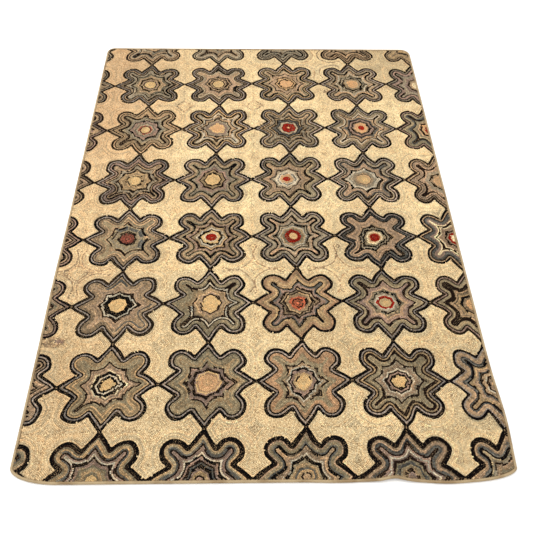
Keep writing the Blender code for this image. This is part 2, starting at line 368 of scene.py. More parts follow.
@dataclass(frozen=True)
class RugEdge:
    """The rug's outline and the lie of its cloth, the same as those of the solids.

    Args:
        step: spacing of the outline's points.
        corners: side, end, how far the rounding eats into the end and into the side.
        slants: how far each edge stands out at its near or left end and at its other end.
        swells: edge, place along it, how far it stands out there, and the swell's spread.
        buckle: x, y, height, spread across and spread along of the one place off the floor.
        buckle_floor: the height under which the cloth lies dead flat.
    """

    step: float = 0.005
    corners: tuple = (
        ("right", "near", 0.155, 0.048),
        ("right", "far", 0.052, 0.058),
        ("left", "far", 0.042, 0.045),
        ("left", "near", 0.175, 0.064),
    )
    slants: dict = field(default_factory=lambda: {
        "left": (0.0135, -0.0045),
        "right": (-0.0030, -0.0045),
        "far": (0.0115, -0.0065),
        "near": (-0.0050, 0.0010),
    })
    swells: tuple = (
        ("right", -1.090, 0.0110, 0.150),
        ("near", 0.650, 0.0100, 0.110),
        ("near", 0.457, -0.0090, 0.040),
        ("near", 0.250, 0.0030, 0.080),
        ("left", -0.450, 0.0035, 0.260),
    )
    buckle: tuple = (0.457, -1.325, 0.0062, 0.060, 0.120)
    buckle_floor: float = 0.0002

    def corner(self, side: str, end: str, along_end: float, along_side: float) -> Array:
        """A quarter ellipse from the side round to the end.

        Args:
            side: left or right.
            end: near or far.
            along_end: how much of the end the rounding takes.
            along_side: how much of the side it takes.

        Returns:
            Its points.
        """
        turn = np.linspace(0.0, np.pi / 2.0, int((along_end + along_side) / self.step) + 2)
        x = HALF_WIDTH - along_end * (1.0 - np.cos(turn))
        y = HALF_LENGTH - along_side * (1.0 - np.sin(turn))
        return np.column_stack([x if side == "right" else -x, y if end == "far" else -y])

    def straight(self, start: Array, stop: Array) -> Array:
        """Evenly spaced points of a straight run, without its two ends.

        Args:
            start: where it starts.
            stop: where it stops.

        Returns:
            Its points.
        """
        count = int(np.linalg.norm(stop - start) / self.step) + 1
        share = np.linspace(0.0, 1.0, count)[1:-1, None]
        return start + (stop - start) * share

    def out(self, edge: str, along: Array, half: float) -> Array:
        """How far an edge stands out: a straight slant plus bell-shaped swells.

        Args:
            edge: left, right, near or far.
            along: places along it, from minus half to half.
            half: half of its length.

        Returns:
            The distance out at each place.
        """
        start, stop = self.slants[edge]
        total = start + (stop - start) * (along / half + 1.0) / 2.0
        for name, at, height, spread in self.swells:
            if name == edge:
                total = total + height * np.exp(-(((along - at) / spread) ** 2))
        return total

    def outline(self) -> Array:
        """The rug's outline, anticlockwise from the near right corner, centred on the origin.

        Returns:
            Its points.
        """
        near_right, far_right, far_left, near_left = (self.corner(*row) for row in self.corners)
        turns = [near_right[::-1], far_right, far_left[::-1], near_left]
        runs = []
        for turn, after in zip(turns, turns[1:] + turns[:1]):
            runs += [turn, self.straight(turn[-1], after[0])]
        x, y = np.concatenate(runs).T
        out_x = np.where(
            x > 0, self.out("right", y, HALF_LENGTH), self.out("left", y, HALF_LENGTH)
        )
        out_y = np.where(y > 0, self.out("far", x, HALF_WIDTH), self.out("near", x, HALF_WIDTH))
        points = np.column_stack([x + out_x * x / HALF_WIDTH, y + out_y * y / HALF_LENGTH])
        return points - (points.max(axis=0) + points.min(axis=0)) / 2.0

    def inward(self, points: Array) -> Array:
        """Directions square to a closed outline, pointing in.

        Args:
            points: the outline, anticlockwise.

        Returns:
            A unit vector for each point.
        """
        along = np.roll(points, -1, axis=0) - np.roll(points, 1, axis=0)
        along /= np.linalg.norm(along, axis=1)[:, None]
        return np.column_stack([-along[:, 1], along[:, 0]])

    def depth_in(self, places: Array, points: Array) -> Array:
        """How far places lie inside an outline, measured to its nearest point.

        Args:
            places: points of the rug, some past its edge.
            points: the outline.

        Returns:
            Distances, less than zero outside.
        """
        inward = self.inward(points)
        depth = np.empty(len(places))
        for start in range(0, len(places), 2000):
            some = places[start : start + 2000]
            away = some[:, None, :] - points[None, :, :]
            nearest = np.argmin((away**2).sum(axis=2), axis=1)
            rows = np.arange(len(some))
            depth[start : start + 2000] = (away[rows, nearest] * inward[nearest]).sum(axis=1)
        return depth

    def lift(self, x: Array, y: Array) -> Array:
        """Height of the cloth over the floor: one bell-shaped buckle at the near end.

        Args:
            x: places across.
            y: places along.

        Returns:
            The height at each place.
        """
        at_x, at_y, height, across, along = self.buckle
        swell = height * np.exp(-(((x - at_x) / across) ** 2) - ((y - at_y) / along) ** 2)
        return np.maximum(swell - self.buckle_floor, 0.0)


@dataclass(frozen=True)
class StarShape:
    """The eight-lobed star of the design, from its middle, in metres.

    Four short pointed arms meet the arms of the next stars at their tips, and four round lobes
    stand between them. It is the same in each eighth, so only the eighth from the axis of an arm to
    the diagonal of a lobe is described.

    Args:
        tip: the tip of an arm, on its axis.
        notch: where the arm's side meets the lobe's neck.
        lobe_at: the lobe's centre, as far across as along.
        lobe_round: the lobe's radius.
        step: spacing of the points of a row.
    """

    tip: Array = field(default_factory=lambda: REPEAT * np.array([0.5, 0.0]))
    notch: Array = field(default_factory=lambda: REPEAT * np.array([0.312, 0.136]))
    lobe_at: Array = field(default_factory=lambda: REPEAT * np.array([0.27, 0.27]))
    lobe_round: float = REPEAT * 0.125
    step: float = 0.0005

    @property
    def neck_end(self) -> Array:
        """Where the neck's straight side runs into the round of the lobe."""
        return self.lobe_at + self.lobe_round * np.array([1.0, -1.0]) / np.sqrt(2.0)

    @property
    def middle_depth(self) -> float:
        """How far the star's middle lies inside its outline."""
        return float(np.hypot(*self.notch))

    @property
    def gap(self) -> float:
        """The spacing past which two points of a row don't belong together."""
        return self.step * 6.0

    def depth(self, x: Array, y: Array) -> Array:
        """How far places lie inside the star's outline, to its nearest point.

        A place is folded into the described eighth. Its distance is the least of those to the arm's
        side, to the neck's side and to the lobe's round.

        Args:
            x: places across, from the star's middle.
            y: places along.

        Returns:
            Distances, less than zero outside.
        """
        far, low = np.maximum(np.abs(x), np.abs(y)), np.minimum(np.abs(x), np.abs(y))
        sides = np.minimum(
            self.to_line(far, low, self.tip, self.notch),
            self.to_line(far, low, self.notch, self.neck_end),
        )
        from_x, from_y = far - self.lobe_at[0], low - self.lobe_at[1]
        outer = from_x + from_y > 0.0
        ring = np.hypot(from_x, from_y) - self.lobe_round
        nearest = np.minimum(sides, np.where(outer, np.abs(ring), REPEAT))
        in_lobe = np.where(outer, ring, np.abs(from_x - from_y) / np.sqrt(2.0) - self.lobe_round)
        run = self.tip - self.notch
        in_arm = (far - self.tip[0]) * -run[1] + (low - self.tip[1]) * run[0]
        return np.where((in_lobe < 0.0) | (in_arm < 0.0), nearest, -nearest)

    @staticmethod
    def to_line(x: Array, y: Array, start: Array, stop: Array) -> Array:
        """Distance of places to a straight line with two ends.

        Args:
            x: places across.
            y: places along.
            start: one end.
            stop: the other.

        Returns:
            The distances.
        """
        run = stop - start
        share = np.clip(((x - start[0]) * run[0] + (y - start[1]) * run[1]) / (run @ run), 0.0, 1.0)
        return np.hypot(x - start[0] - share * run[0], y - start[1] - share * run[1])

    def candidates(self, depth: float) -> Array:
        """Points that a row at one depth may pass, from the arm's axis to the lobe's diagonal.

        They are the arm's side and the neck's side moved in by the depth, the arc round the notch
        that joins them, and the lobe's round with its radius less the depth.

        Args:
            depth: distance inside the outline, less than zero outside.

        Returns:
            The points in their order along the row.
        """
        arm, neck = self.notch - self.tip, self.neck_end - self.notch
        arm_in = np.array([-arm[1], arm[0]]) / np.linalg.norm(arm)
        neck_in = np.array([-neck[1], neck[0]]) / np.linalg.norm(neck)
        share = np.linspace(0.0, 1.0, int(np.linalg.norm(arm) / self.step))[:, None]
        runs = [self.tip + arm * share + arm_in * depth]
        if depth > 0.0:
            first, last = (np.arctan2(way[1], way[0]) % (2.0 * np.pi) for way in (arm_in, neck_in))
            turn = np.linspace(first, last, max(int(depth * abs(last - first) / self.step), 2))
            runs.append(self.notch + depth * np.column_stack([np.cos(turn), np.sin(turn)]))
        share = np.linspace(0.0, 1.0, int(np.linalg.norm(neck) / self.step))[:, None]
        runs.append(self.notch + neck * share + neck_in * depth)
        radius = self.lobe_round - depth
        if radius > 0.0:
            turn = np.linspace(-np.pi / 4, np.pi / 4, max(int(radius * 1.57 / self.step), 3))
            runs.append(self.lobe_at + radius * np.column_stack([np.cos(turn), np.sin(turn)]))
        return np.concatenate(runs)

    def row(self, depth: float) -> tuple[Array, Array]:
        """The row of loops at one depth, all the way round the star.

        Of the candidates only those are kept whose true distance to the outline is the depth. The
        eighth is then turned and mirrored into the other seven.

        Args:
            depth: distance inside the outline, less than zero outside.

        Returns:
            The row's points, and the length run so far at each, in which gaps count for nothing.
        """
        points = self.candidates(depth)
        x, y = points.T
        inside = (y >= -1e-6) & (x - y >= -1e-6) & (x <= REPEAT / 2.0)
        kept = points[inside & (np.abs(self.depth(x, y) - depth) < self.step * 0.02)]
        if len(kept) < 2:
            return np.empty((0, 2)), np.empty(0)
        mirrored = kept[::-1, ::-1]
        quarter = np.concatenate([kept, mirrored])
        turns = [quarter]
        for _ in range(3):
            turns.append(np.column_stack([-turns[-1][:, 1], turns[-1][:, 0]]))
        ring = np.concatenate(turns)
        lengths = np.linalg.norm(np.diff(ring, axis=0, append=ring[:1]), axis=1)
        lengths[lengths > self.gap] = 0.0
        return ring, np.cumsum(lengths) - lengths[0]


@dataclass
class Loops:
    """Wool loops as arrays, one value for each loop.

    Args:
        place: x and y of its middle.
        along: unit vector along its row.
        wide: width across its row.
        colour: linear red, green and blue.
        star_row: the row of stars that it belongs to.
    """

    place: Array
    along: Array
    wide: Array
    colour: Array
    star_row: Array

    def only(self, keep: Array) -> "Loops":
        """Picks out some of the loops.

        Args:
            keep: true for each loop to keep.

        Returns:
            Those loops.
        """
        return Loops(
            self.place[keep], self.along[keep], self.wide[keep], self.colour[keep], self.star_row[keep]
        )


@dataclass(frozen=True)
class GroundWool:
    """The ground's wool: three lots mixed by strip, pinker at the left, duller at the ends.

    Args:
        strip_pick: how far a strip's own number moves the pick of its lot.
        loop_pick: how far single loops stray from it.
        cloud_pick: how far slow clouds move it.
        cloud: the size of the clouds.
        near_dull: how much duller the near end is.
        far_dull: how much duller the far end is.
        corner_dull: how much more the far right corner is.
        pink: share of red, green and blue that is missing at the left edge.
    """

    strip_pick: float = 0.12
    loop_pick: float = 0.16
    cloud_pick: float = 0.10
    cloud: float = 0.35
    near_dull: float = 0.03
    far_dull: float = 0.05
    corner_dull: float = 0.11
    pink: Colour = (0.085, 0.125, 0.14)

    def shades(self, place: Array, strip: Array, draw: np.random.Generator) -> Array:
        """Picks the shade of each loop of the ground.

        Args:
            place: where the loops lie.
            strip: the number drawn for each loop's strip.
            draw: random numbers.

        Returns:
            sRGB red, green and blue, 0 to 255.
        """
        x, y = place.T
        right, far = x / HALF_WIDTH, y / HALF_LENGTH
        pick = 0.5 + self.strip_pick * strip + self.loop_pick * draw.normal(size=len(x))
        pick += self.cloud_pick * ripple(x, y, self.cloud, SEED + 3)
        shares = np.cumsum([share for _, _, share in GROUND_SHADES])
        lot = np.searchsorted(shares[:-1], np.clip(pick, 0.0, 1.0))
        shade = np.array([colour for _, colour, _ in GROUND_SHADES], float)[lot]
        corner = self.corner_dull * smooth_step((right - 0.45) / 0.4)
        dull = self.near_dull * smooth_step(0.3 - far)
        dull += smooth_step((far - 0.55) / 0.4) * (self.far_dull + corner)
        pink = smooth_step((-right - 0.3) / 0.6) * (0.4 + 0.8 * smooth_step(2.0 * far))
        return shade * (1.0 - dull[:, None]) * (1.0 - pink[:, None] * np.array(self.pink))


@dataclass
class Hooking:
    """Plans the rows of loops: where each lies, and in which wool.

    Args:
        shape: the star of the design.
        outer_row: how far the first row of a star's outline lies outside the drawn line, in rows.
        loop_long: spacing of the loops in a row.
        wander: how far a row strays as it is hooked.
        wander_wave: over what length.
        strip_long: usual length of one strip of wool along its row.
        swing: how far the rings of a star swing in and out, in rows.
        swing_waves: how many waves the swing has round a star.
        swing_grows: rows over which it grows, from half as many rows inside the outline.
        swing_fades: rows before the middle over which it fades.
        stop_waves: how many waves there are in the stops of a broken line.
        stop_over: the line stops where these waves add up to more.
        dark_tip: past this share of the repeat, an arm's tip is worked in the outline's wool.
        tip_rows: how many rows deep that goes.
        stray: how far single loops lie out of line.
        mark_share: the share of the loops along a mark of the ground that are in its wool.
        diamond_line: half the thickness of a diamond's line, in rows.
        echo_reach: how far an echo reaches from its middle, in repeats.
        ragged: the share of the outermost row of an outline that was hooked in the ground's wool.
        strip_dye: how far the dye of a strip strays.
        loop_dye: how far that of a loop strays.
        strip_warm: how far a strip's dye turns warm or cold, and half as far in the ground.
        loop_warm: the same for a loop.
        edge_zone: how far in from the edge loops are checked against it, in metres.
        trim: how far the outermost loops keep from the binding, in rows.
    """

    shape: StarShape = field(default_factory=StarShape)
    outer_row: float = 0.95
    loop_long: float = LOOP_LONG
    wander: float = 0.0032
    wander_wave: float = 0.090
    strip_long: float = 0.24
    swing: float = 0.38
    swing_waves: tuple[int, ...] = (2, 3, 5)
    swing_grows: float = 5.0
    swing_fades: float = 14.0
    stop_waves: tuple[int, ...] = (3, 7, 13)
    stop_over: float = 1.1
    dark_tip: float = 0.465
    tip_rows: float = 4.0
    stray: float = 0.0005
    mark_share: float = 0.80
    diamond_line: float = 0.8
    echo_reach: float = 0.37
    ragged: float = 0.02
    strip_dye: float = 0.70
    loop_dye: float = 0.65
    strip_warm: float = 0.012
    loop_warm: float = 0.018
    edge_zone: float = 0.20
    trim: float = 0.35
    draw: np.random.Generator = field(default_factory=lambda: np.random.default_rng(SEED))

    def __post_init__(self) -> None:
        """Keeps each row's path once it is worked out."""
        self.row_path = lru_cache(maxsize=None)(self.shape.row)

    def depths(self) -> list[tuple[float, float]]:
        """The rows of loops of a star and of the ground round it, evenly spaced.

        Returns:
            Depth and width of each row.
        """
        start = self.outer_row * ROW_WIDE
        count = round((self.shape.middle_depth + start) / ROW_WIDE)
        wide = (self.shape.middle_depth + start) / count
        ground = [(round(-start - (index + 0.5) * ROW_WIDE, 5), ROW_WIDE) for index in range(GROUND_ROWS)]
        return ground + [(round(-start + (index + 0.5) * wide, 5), wide) for index in range(count)]

    def wools(self, star: Star, place: Array, depth: float, waves: Array) -> Array:
        """Picks the wool of each loop of a row off the chart.

        The chart is read at the row's depth plus a slow uneven swing round the star, which is
        nothing at the outline and at the middle and full between. The tips of the arms stay dark.

        Args:
            star: its entry in the chart.
            place: the loops' places from the star's middle.
            depth: the row's depth.
            waves: six numbers that start the star's waves.

        Returns:
            The index of each loop's wool.
        """
        if depth < -self.outer_row * ROW_WIDE:
            return np.full(len(place), GROUND_WOOL)
        turn = np.arctan2(-place[:, 1], place[:, 0])
        swing = sum(np.sin(count * turn + start) for count, start in zip(self.swing_waves, waves))
        swing = swing * self.swing
        for degrees, spread, rows in star.pulls:
            away = (np.degrees(turn) - degrees + 180.0) % 360.0 - 180.0
            swing += rows * np.exp(-((away / spread) ** 2))
        rows_left = (self.shape.middle_depth - depth) / ROW_WIDE
        share = smooth_step(depth / ROW_WIDE / self.swing_grows - 0.5)
        share *= smooth_step(rows_left / self.swing_fades)
        charted = depth / ROW_WIDE + self.outer_row + share * swing
        bands = star.bands()
        index = np.searchsorted(np.cumsum([band.width for band in bands[:-1]]), charted, side="right")
        wool = np.array([band.wool for band in bands])
        stop_starts = zip(self.stop_waves, waves[3:])
        wave = sum(np.sin(count * turn + start + index) for count, start in stop_starts)
        stops = np.array([band.broken for band in bands])[index] & (wave > self.stop_over)
        found = wool[np.where(stops, index - 1, index)]
        tip = (np.abs(place).max(axis=1) > self.dark_tip * REPEAT) & (charted < self.tip_rows)
        found = np.where(tip, wool[0], found)
        missed = (charted < 1.0) & ~tip & (self.draw.uniform(size=len(place)) < self.ragged)
        return np.where(missed, GROUND_WOOL, found)

    def star_loops(self, column: int, star_row: int, star: Star) -> dict[str, Array]:
        """Hooks one star with the ground round it, as wide as one repeat.

        Args:
            column: the star's column.
            star_row: the star's row.
            star: its entry in the chart.

        Returns:
            An array for each of LOOP_FACTS, with places in the star's own frame.
        """
        found: dict[str, list[Array]] = {name: [] for name in LOOP_FACTS}
        waves = self.draw.uniform(0.0, 2.0 * np.pi, 6)
        for depth, wide in self.depths():
            ring, run = self.row_path(depth)
            total = run[-1] if len(run) else 0.0
            if total < self.loop_long:
                continue
            whole = self.is_whole(ring)
            quarter = max(1, round(total / 4 / self.loop_long))
            count = max(3, round(total / self.loop_long)) if whole else 4 * quarter
            start = self.draw.uniform() if whole else 0.5
            at = (np.arange(count) + start) / count * total
            index = np.clip(np.searchsorted(run, at), 0, len(ring) - 1)
            place = ring[index]
            along = ring[(index + 2) % len(ring)] - ring[index - 2]
            strips = max(1, round(total / self.strip_long))
            strip = np.floor(at / total * strips + self.draw.uniform()).astype(int) % strips
            shade = 0.8 * self.draw.normal(size=strips)[strip] + 0.6 * self.draw.normal()
            values = (place, along / np.linalg.norm(along, axis=1)[:, None], np.full(count, wide),
                      self.wools(star, place, depth, waves), shade, np.full(count, depth))
            for name, value in zip(LOOP_FACTS, values):
                found[name].append(value)
        loops = {name: np.concatenate(values) for name, values in found.items()}
        loops["wool"] = self.odd_lengths(column, star_row, loops)
        loops["wool"] = self.marked(column, star_row, loops)
        return self.shifted(loops, star)

    def is_whole(self, ring: Array) -> bool:
        """Tells a row that closes round its star from one that the next stars' rows cut into four.

        Args:
            ring: the row's points.

        Returns:
            True for a closed row.
        """
        return bool(np.linalg.norm(ring[-1] - ring[0]) < self.shape.gap) if len(ring) else False

    @staticmethod
    def odd_lengths(column: int, star_row: int, loops: dict[str, Array]) -> Array:
        """Puts the star's odd lengths of another wool in place.

        Args:
            column: the star's column.
            star_row: the star's row.
            loops: its loops.

        Returns:
            The wool of each loop.
        """
        wool = loops["wool"].copy()
        turn = np.degrees(np.arctan2(-loops["place"][:, 1], loops["place"][:, 0]))
        rows = loops["depth"] / ROW_WIDE
        for at_column, at_row, letter, start, stop, first, last in ODD_LENGTHS:
            if (at_column, at_row) == (column, star_row):
                within = (turn - start) % 360.0 < stop - start
                wool[within & (rows > first) & (rows < last)] = WOOL_OF_LETTER[letter]
        return wool

    def marked(self, column: int, star_row: int, loops: dict[str, Array]) -> Array:
        """Puts the faint marks of the ground in place: diamonds, echoes of the outlines and stains.

        Args:
            column: the star's column.
            star_row: the star's row.
            loops: its loops.

        Returns:
            The wool of each loop.
        """
        wool = loops["wool"].copy()
        across = column + loops["place"][:, 0] / REPEAT
        down = star_row - loops["place"][:, 1] / REPEAT
        out = -loops["depth"] / ROW_WIDE - self.outer_row
        hit = self.draw.uniform(size=len(wool)) < self.mark_share
        for at_column, at_row, kind, size in GROUND_MARKS:
            right, near = np.abs(across - at_column), np.abs(down - at_row)
            if kind is Mark.DIAMOND:
                found = np.abs(right + near - size) < self.diamond_line * ROW_WIDE / REPEAT
            elif kind is Mark.ECHO:
                found = (np.abs(out - size - 0.5) < 0.5) & (np.maximum(right, near) < self.echo_reach)
            else:
                found = np.hypot(right, 2.0 * near) < size
            wool[found & hit & (wool == GROUND_WOOL)] = WOOL_OF_LETTER[kind.value[1]]
        return wool

    def shifted(self, loops: dict[str, Array], star: Star) -> dict[str, Array]:
        """Moves a star's inner rings off its centre, not at all at the outline and fully at its middle.

        Args:
            loops: its loops.
            star: its entry in the chart.

        Returns:
            The loops in their new places.
        """
        share = smooth_step(loops["depth"] / self.shape.middle_depth)[:, None]
        loops["place"] = loops["place"] + share * np.array([star.right, -star.near]) * MM
        return loops

    def to_rug(self, column: Array, row: Array) -> Array:
        """Turns a place in the lattice of stars into one on the rug, with the design's wandering.

        Args:
            column: places across, in columns.
            row: places along, in rows.

        Returns:
            x and y on the rug.
        """
        across = read_off(ACROSS_BY_ROW, row) + read_off(ACROSS_BY_COLUMN, column)
        nearer = read_off(NEARER_BY_ROW, row) + read_off(NEARER_BY_COLUMN, column)
        x = (column - MIDDLE_COLUMN) * REPEAT + across
        y = -(row - MIDDLE_ROW) * REPEAT - nearer
        stray_x = self.wander * ripple(x, y, self.wander_wave, SEED + 1)
        stray_y = self.wander * ripple(x, y, self.wander_wave, SEED + 2)
        return np.column_stack([x + stray_x, y + stray_y])

    def dyed(self, loops: dict[str, Array], place: Array) -> Array:
        """The colour of each loop: its wool's shade, uneven by strip and from loop to loop.

        Args:
            loops: the loops of one star and its ground.
            place: where they lie on the rug.

        Returns:
            Linear red, green and blue.
        """
        shades = np.array([wool.shade for wool in WOOLS] + [GROUND_SHADES[0][1]])
        uneven = np.array([wool.uneven for wool in WOOLS] + [GROUND_UNEVEN])
        wool = loops["wool"]
        shade = shades[wool].astype(float)
        ground = wool == GROUND_WOOL
        shade[ground] = GroundWool().shades(place[ground], loops["shade"][ground], self.draw)
        count = len(wool)
        strays = self.strip_dye * loops["shade"] + self.loop_dye * self.draw.normal(size=count)
        light = 1.0 + uneven[wool] * strays
        warm = self.loop_warm * self.draw.normal(size=count) + self.strip_warm * loops["shade"]
        warm *= np.where(ground, 0.5, 1.0)
        tint = np.column_stack([1.0 + warm, np.ones(count), 1.0 - warm])
        return linear(np.clip(shade * np.clip(light, 0.4, 1.5)[:, None] * tint, 8.0, 250.0))

    def hook(self, edge: RugEdge) -> Loops:
        """Hooks the whole rug and trims it at the binding.

        Args:
            edge: the rug's outline.

        Returns:
            All the loops.
        """
        parts = []
        for (column, star_row), star in STARS.items():
            loops = self.star_loops(column, star_row, star)
            local = loops["place"] / REPEAT
            place = self.to_rug(column + local[:, 0], star_row - local[:, 1])
            place += self.draw.normal(scale=self.stray, size=place.shape)
            colour = self.dyed(loops, place)
            star_rows = np.full(len(place), star_row)
            parts.append(Loops(place, loops["along"], loops["wide"], colour, star_rows))
        whole = Loops(
            *(np.concatenate([getattr(part, name) for part in parts])
              for name in ("place", "along", "wide", "colour", "star_row"))
        )
        points = edge.outline()
        well_in = np.array([HALF_WIDTH, HALF_LENGTH]) - self.edge_zone
        near_edge = (np.abs(whole.place) > well_in).any(axis=1)
        depth = np.full(len(whole.place), REPEAT)
        depth[near_edge] = edge.depth_in(whole.place[near_edge], points)
        return whole.only(depth > BINDING_WIDE + GAP + ROW_WIDE * self.trim)


class Nodes:
    """A short way to build node trees: each call adds one node and links its inputs."""

    def __init__(self, tree: bpy.types.NodeTree) -> None:
        """Works on one tree.

        Args:
            tree: a material's or a group's tree.
        """
        self.tree = tree
        self.column = 0

    def add(self, kind: str, inputs: dict | None = None, **settings: object) -> bpy.types.Node:
        """Adds a node.

        Args:
            kind: its bl_idname.
            inputs: for each input, by name or number, a value or the output that feeds it.
            settings: its own settings.

        Returns:
            The node.
        """
        node = self.tree.nodes.new(kind)
        self.column += 1
        node.location = (180.0 * (self.column % 8), -260.0 * (self.column // 8))
        for name, value in settings.items():
            setattr(node, name, value)
        for name, value in (inputs or {}).items():
            socket = node.inputs[name]
            if isinstance(value, bpy.types.NodeSocket):
                self.tree.links.new(value, socket)
            else:
                socket.default_value = value
        return node

    def maths(self, operation: str, *values: object, clamp: bool = False) -> bpy.types.NodeSocket:
        """Adds a Math node.

        Args:
            operation: what it works out.
            values: its inputs, numbers or outputs.
            clamp: true to hold the result between 0 and 1.

        Returns:
            Its output.
        """
        inputs = dict(enumerate(values))
        return self.add("ShaderNodeMath", inputs, operation=operation, use_clamp=clamp).outputs[0]

    def mix(self, factor: object, first: object, second: object, blend: str = "MIX") -> bpy.types.NodeSocket:
        """Adds a Mix node for two colours.

        Args:
            factor: the share of the second.
            first: the first colour.
            second: the second colour.
            blend: how they are blended.

        Returns:
            Its output.
        """
        node = self.add("ShaderNodeMix", {0: factor, 6: first, 7: second}, data_type="RGBA", blend_type=blend)
        return node.outputs[2]

    def spread(self, value: object, low: float, high: float, out_low: float = 0.0,
               out_high: float = 1.0) -> bpy.types.NodeSocket:
        """Spreads a range of values over another, held at its ends.

        Args:
            value: the value.
            low: the value that gives out_low.
            high: the value that gives out_high.
            out_low: the result at the low end.
            out_high: the result at the high end.

        Returns:
            The result.
        """
        inputs = {0: value, 1: low, 2: high, 3: out_low, 4: out_high}
        return self.add("ShaderNodeMapRange", inputs, interpolation_type="SMOOTHSTEP").outputs[0]


def new_group(name: str, inputs: dict[str, tuple[str, object]], outputs: dict[str, str]) -> tuple:
    """Starts a shader node group with named sockets.

    Args:
        name: the group's name.
        inputs: for each input, its kind of socket and its usual value.
        outputs: for each output, its kind of socket.

    Returns:
        The group, a builder for its nodes, its input node and its output node.
    """
    group = bpy.data.node_groups.new(name, "ShaderNodeTree")
    for title, (kind, usual) in inputs.items():
        socket = group.interface.new_socket(title, in_out="INPUT", socket_type=kind)
        if usual is not None:
            socket.default_value = usual
    for title, kind in outputs.items():
        group.interface.new_socket(title, in_out="OUTPUT", socket_type=kind)
    nodes = Nodes(group)
    return group, nodes, nodes.add("NodeGroupInput"), nodes.add("NodeGroupOutput")


@lru_cache(maxsize=None)
def heather_group() -> bpy.types.NodeTree:
    """Wool spun from fibres of unlike shades: a colour broken up by fine flecks and slow fading.

    Returns:
        A group that takes Colour, Place, Fleck Size and Strength, and gives Colour.
    """
    group, nodes, given, result = new_group(
        "heather",
        {"Colour": (COLOUR, None), "Place": (VECTOR, None), "Fleck Size": (VALUE, 0.001),
         "Strength": (VALUE, 0.2)},
        {"Colour": COLOUR},
    )
    scale = nodes.maths("DIVIDE", 1.0, given.outputs["Fleck Size"])
    flecks = nodes.add("ShaderNodeTexNoise", {"Vector": given.outputs["Place"], "Scale": scale,
                                              "Detail": 2.0, "Roughness": 0.6})
    light = nodes.spread(flecks.outputs[0], 0.3, 0.7, -1.0, 1.0)
    share = nodes.maths("MULTIPLY_ADD", light, given.outputs["Strength"], 1.0)
    grey = nodes.add("ShaderNodeCombineXYZ", {0: share, 1: share, 2: share}).outputs[0]
    mixed = nodes.mix(1.0, given.outputs["Colour"], grey, "MULTIPLY")
    nodes.tree.links.new(mixed, result.inputs["Colour"])
    return group


@lru_cache(maxsize=None)
def soil_group() -> bpy.types.NodeTree:
    """Years of dust and tread: slow brownish clouds over a colour.

    Returns:
        A group that takes Colour, Place, Cloud Size and Strength, and gives Colour.
    """
    group, nodes, given, result = new_group(
        "soil",
        {"Colour": (COLOUR, None), "Place": (VECTOR, None), "Cloud Size": (VALUE, 0.2),
         "Strength": (VALUE, 0.2)},
        {"Colour": COLOUR},
    )
    scale = nodes.maths("DIVIDE", 1.0, given.outputs["Cloud Size"])
    clouds = nodes.add("ShaderNodeTexNoise", {"Vector": given.outputs["Place"], "Scale": scale,
                                              "Detail": 4.0, "Roughness": 0.55})
    mask = nodes.spread(clouds.outputs[0], 0.42, 0.72)
    share = nodes.maths("MULTIPLY", mask, given.outputs["Strength"])
    dust = nodes.mix(share, given.outputs["Colour"], (0.60, 0.52, 0.42, 1.0), "MULTIPLY")
    nodes.tree.links.new(dust, result.inputs["Colour"])
    return group


@lru_cache(maxsize=None)
def weave_group() -> bpy.types.NodeTree:
    """A plain weave: rounded threads that go over and under each other by turns.

    The height is the greater of two rows of half sine waves, one for each way of the threads, and
    each row is raised where its sine across the other way is above zero.

    Returns:
        A group that takes Place and Thread, the spacing of the threads, and gives Height and Hole.
    """
    group, nodes, given, result = new_group(
        "plain weave",
        {"Place": (VECTOR, None), "Thread": (VALUE, 0.002)},
        {"Height": VALUE, "Hole": VALUE},
    )
    parts = nodes.add("ShaderNodeSeparateXYZ", {0: given.outputs["Place"]})
    phase = [
        nodes.maths("MULTIPLY", nodes.maths("DIVIDE", parts.outputs[axis], given.outputs["Thread"]), np.pi)
        for axis in (0, 1)
    ]
    across, along = (nodes.maths("SINE", value) for value in phase)
    over = nodes.maths("MULTIPLY", across, along)
    warp = nodes.maths("ABSOLUTE", across)
    weft = nodes.maths("ABSOLUTE", along)
    up = nodes.spread(over, -0.3, 0.3, 0.4, 1.0)
    down = nodes.spread(over, -0.3, 0.3, 1.0, 0.4)
    height = nodes.maths("MAXIMUM", nodes.maths("MULTIPLY", warp, up), nodes.maths("MULTIPLY", weft, down))
    hole = nodes.spread(height, 0.25, 0.05)
    nodes.tree.links.new(height, result.inputs["Height"])
    nodes.tree.links.new(hole, result.inputs["Hole"])
    return group


def start_material(name: str) -> tuple[bpy.types.Material, Nodes, bpy.types.Node, bpy.types.NodeSocket]:
    """Starts a material.

    Args:
        name: its name.

    Returns:
        The material, a builder for its nodes, its Principled shader and its Object coordinates.
    """
    material = bpy.data.materials.new(name)
    material.use_nodes = True
    nodes = Nodes(material.node_tree)
    shader = material.node_tree.nodes["Principled BSDF"]
    place = nodes.add("ShaderNodeTexCoord").outputs["Object"]
    return material, nodes, shader, place


